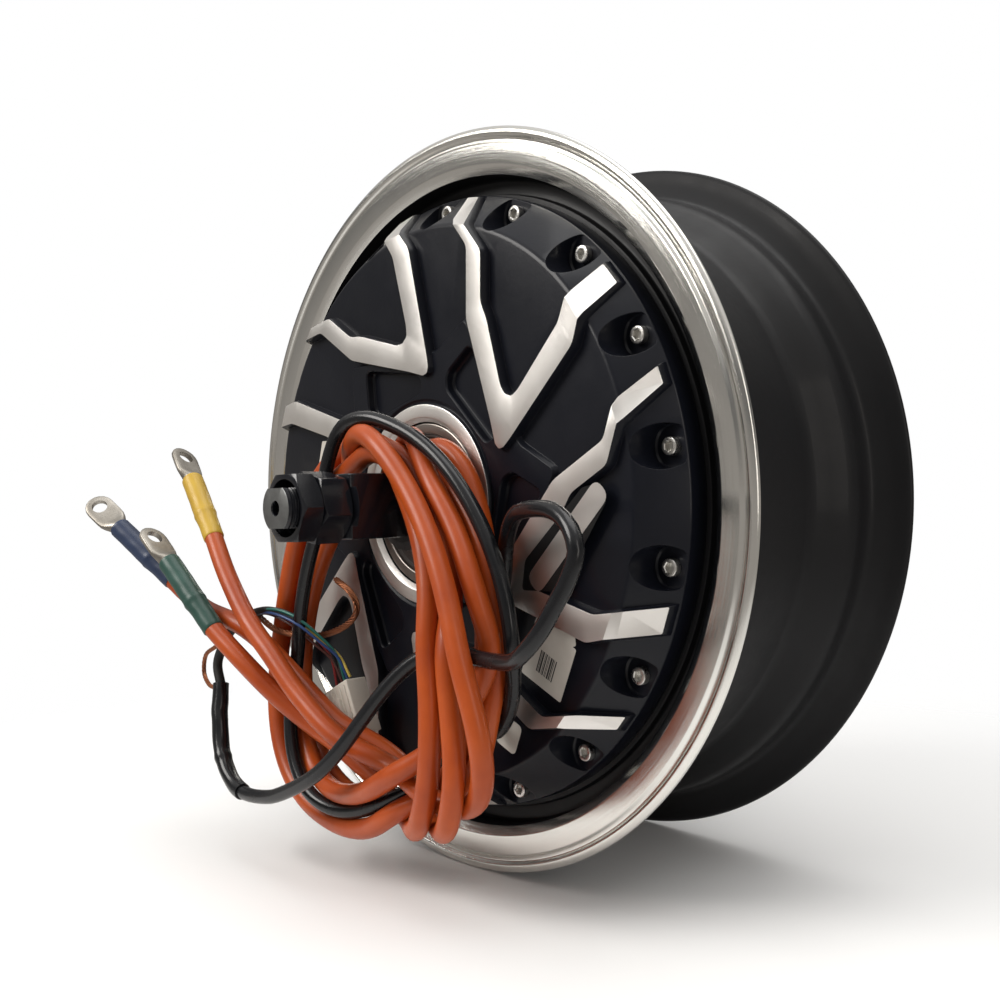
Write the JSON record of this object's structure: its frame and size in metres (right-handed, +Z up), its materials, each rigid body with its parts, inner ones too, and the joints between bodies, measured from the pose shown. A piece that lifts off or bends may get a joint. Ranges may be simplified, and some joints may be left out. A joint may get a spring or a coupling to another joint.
{
  "type": "hub motor wheel",
  "caption": "Cast wheel rim with a brushless hub motor inside, fixed hollow axle with nuts, coiled phase cables with ring lugs and a signal lead.",
  "frame": {"origin": "centre of the wheel on the axle, in the rim's middle plane", "axes": "+Y along the axle away from the cable side, +Z up"},
  "size_m": [0.3966, 0.326, 0.364],
  "materials": {
    "black_coat": "satin black coat with bright machined faces",
    "bright_aluminium": "machined",
    "bearing_steel": "ground",
    "zinc_steel": "zinc plated",
    "black_oxide": "black oxide",
    "lamination_iron": "bare",
    "magnet_nickel": "nickel plated",
    "copper": "enamelled copper",
    "black_rubber": "matte",
    "seal_rubber": "matte",
    "orange_silicone": "silicone jacket",
    "black_jacket": "semi gloss jacket",
    "yellow_sleeve": "heat-shrink",
    "green_sleeve": "heat-shrink",
    "blue_sleeve": "heat-shrink",
    "tinned_copper": "tinned",
    "white_nylon": "moulded",
    "circuit_board": "solder mask"
  },
  "bodies": {
    "stator": {"axle": "black_oxide", "left_rear_nut": "black_oxide", "left_front_nut": "black_oxide", "right_rear_nut": "black_oxide", "right_front_nut": "black_oxide", "left_bearing_inner_race": "bearing_steel", "right_bearing_inner_race": "bearing_steel", "stator_core": "lamination_iron", "stator_windings": "copper", "stator_spider": "bright_aluminium", "hall_sensor_board": "circuit_board", "cable_exit_boot": "black_rubber", "cable_coil": "orange_silicone", "phase_cable_yellow": "orange_silicone", "phase_cable_green": "orange_silicone", "phase_cable_blue": "orange_silicone", "yellow_lug": "tinned_copper", "green_lug": "tinned_copper", "blue_lug": "tinned_copper", "yellow_sleeve": "yellow_sleeve", "green_sleeve": "green_sleeve", "blue_sleeve": "blue_sleeve", "signal_cable_loop": "black_jacket", "signal_cable_end": "black_jacket", "signal_wires": "black_rubber", "signal_plug": "white_nylon"},
    "wheel": {"rim": "black_coat", "back_iron_ring": "lamination_iron", "magnet_ring": "magnet_nickel", "left_cover": "black_coat", "right_cover": "black_coat", "left_cover_screw_01": "zinc_steel", "left_cover_screw_02": "zinc_steel", "left_cover_screw_03": "zinc_steel", "left_cover_screw_04": "zinc_steel", "left_cover_screw_05": "zinc_steel", "left_cover_screw_06": "zinc_steel", "left_cover_screw_07": "zinc_steel", "left_cover_screw_08": "zinc_steel", "left_cover_screw_09": "zinc_steel", "left_cover_screw_10": "zinc_steel", "left_cover_screw_11": "zinc_steel", "left_cover_screw_12": "zinc_steel", "left_cover_screw_13": "zinc_steel", "left_cover_screw_14": "zinc_steel", "left_cover_screw_15": "zinc_steel", "left_cover_screw_16": "zinc_steel", "left_cover_screw_17": "zinc_steel", "left_cover_screw_18": "zinc_steel", "left_bearing_outer_race": "bearing_steel", "right_bearing_outer_race": "bearing_steel", "left_bearing_seal": "seal_rubber", "right_bearing_seal": "seal_rubber"},
    "left_ball_ring": {"left_bearing_balls_and_cage": "bearing_steel"},
    "right_ball_ring": {"right_bearing_balls_and_cage": "bearing_steel"}
  },
  "joints": [
    {"name": "wheel_spin", "type": "hinge", "parent": "stator", "child": "wheel", "pos_m": [0, 0, 0], "axis": [0, 1, 0], "continuous": true},
    {"name": "left_balls_spin", "type": "hinge", "parent": "stator", "child": "left_ball_ring", "pos_m": [0, 0, 0], "axis": [0, 1, 0], "continuous": true},
    {"name": "right_balls_spin", "type": "hinge", "parent": "stator", "child": "right_ball_ring", "pos_m": [0, 0, 0], "axis": [0, 1, 0], "continuous": true}
  ],
  "couplings": [
    {"joint": "left_balls_spin", "follows": "wheel_spin", "ratio": 0.5983},
    {"joint": "right_balls_spin", "follows": "wheel_spin", "ratio": 0.5983}
  ]
}
